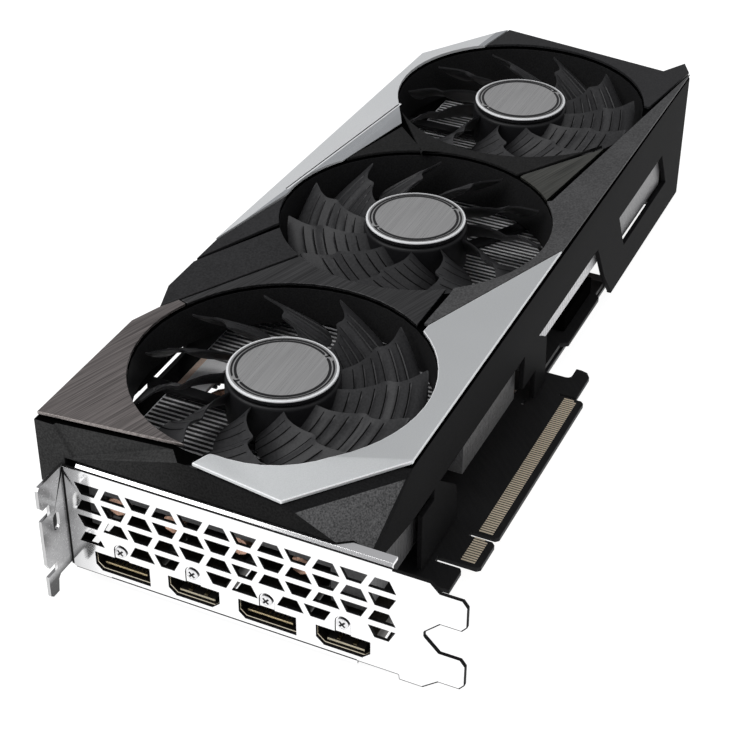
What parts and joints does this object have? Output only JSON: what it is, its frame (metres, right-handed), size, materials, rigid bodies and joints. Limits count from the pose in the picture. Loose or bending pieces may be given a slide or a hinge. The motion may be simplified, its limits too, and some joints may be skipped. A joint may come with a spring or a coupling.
{
  "type": "graphics card",
  "caption": "Expansion card with a long shroud over finned coolers and spinning fans, a slotted metal bracket with video ports, and an edge connector.",
  "frame": {"origin": "centre of the card's footprint, at the height of the lowest point, the slot bracket's positioning hook", "axes": "+X from the slot bracket towards the far end, +Y from the edge connector towards the power sockets, +Z out through the fans"},
  "size_m": [0.2948, 0.1272, 0.0535],
  "materials": {
    "board": "black solder mask, satin",
    "chip": "dark moulded package",
    "socket_plastic": "black moulded plastic",
    "bracket_metal": "bright nickel plate over steel",
    "port_metal": "satin stainless sheet",
    "contact_plastic": "black contact carrier",
    "screw_steel": "plated steel",
    "shroud_plastic": "smooth black moulding",
    "brushed_plate": "dark gunmetal, brushed",
    "silver_trim": "satin silver",
    "textured_panel": "fine-grained dark grey",
    "rotor_plastic": "satin dark grey plastic",
    "fan_cap": "brushed disc with a bright rim",
    "motor_winding": "copper windings",
    "mount_plastic": "black plastic",
    "fins": "bare aluminium fins",
    "copper": "copper, bright drawn",
    "backplate_metal": "black powder coat"
  },
  "bodies": {
    "card": {"circuit_board": "board", "gpu_package": "chip", "memory_chip_1": "chip", "memory_chip_2": "chip", "memory_chip_3": "chip", "memory_chip_4": "chip", "memory_chip_5": "chip", "memory_chip_6": "chip", "power_socket_8": "socket_plastic", "power_socket_6": "socket_plastic", "fan_lead_header": "socket_plastic", "io_bracket": "bracket_metal", "video_port_shell_1": "port_metal", "video_port_tongue_1": "contact_plastic", "port_screw_1": "screw_steel", "video_port_shell_2": "port_metal", "video_port_tongue_2": "contact_plastic", "port_screw_2": "screw_steel", "video_port_shell_3": "port_metal", "video_port_tongue_3": "contact_plastic", "port_screw_3": "screw_steel", "video_port_shell_4": "port_metal", "video_port_tongue_4": "contact_plastic", "port_screw_4": "screw_steel", "fan_shroud": "shroud_plastic", "brushed_plate_near": "brushed_plate", "brushed_plate_middle": "brushed_plate", "brushed_plate_far": "brushed_plate", "silver_trim_near": "silver_trim", "silver_trim_far": "silver_trim", "back_panel_near": "textured_panel", "back_panel_far": "textured_panel", "side_band": "textured_panel", "bridge_panel": "textured_panel", "end_panel": "textured_panel", "fan_motor_1": "motor_winding", "fan_mount_1": "mount_plastic", "fan_motor_2": "motor_winding", "fan_mount_2": "mount_plastic", "fan_motor_3": "motor_winding", "fan_mount_3": "mount_plastic", "fin_stack_near": "fins", "fin_stack_middle": "fins", "fin_stack_back": "fins", "fin_stack_far": "fins", "heat_pipe_1": "copper", "heat_pipe_2": "copper", "heat_pipe_3": "copper", "heat_pipe_4": "copper", "cold_plate": "copper", "backplate": "backplate_metal"},
    "fan_1": {"fan_rotor_1": "rotor_plastic", "fan_cap_1": "fan_cap", "fan_shaft_1": "screw_steel"},
    "fan_2": {"fan_rotor_2": "rotor_plastic", "fan_cap_2": "fan_cap", "fan_shaft_2": "screw_steel"},
    "fan_3": {"fan_rotor_3": "rotor_plastic", "fan_cap_3": "fan_cap", "fan_shaft_3": "screw_steel"}
  },
  "joints": [
    {"name": "fan_1_spin", "type": "hinge", "parent": "card", "child": "fan_1", "pos_m": [-0.0867, 0.01335, 0.0505], "axis": [0, 0, 1], "continuous": true},
    {"name": "fan_2_spin", "type": "hinge", "parent": "card", "child": "fan_2", "pos_m": [0.0043, 0.01335, 0.0505], "axis": [0, 0, 1], "continuous": true},
    {"name": "fan_3_spin", "type": "hinge", "parent": "card", "child": "fan_3", "pos_m": [0.0953, 0.01335, 0.0505], "axis": [0, 0, 1], "continuous": true}
  ]
}
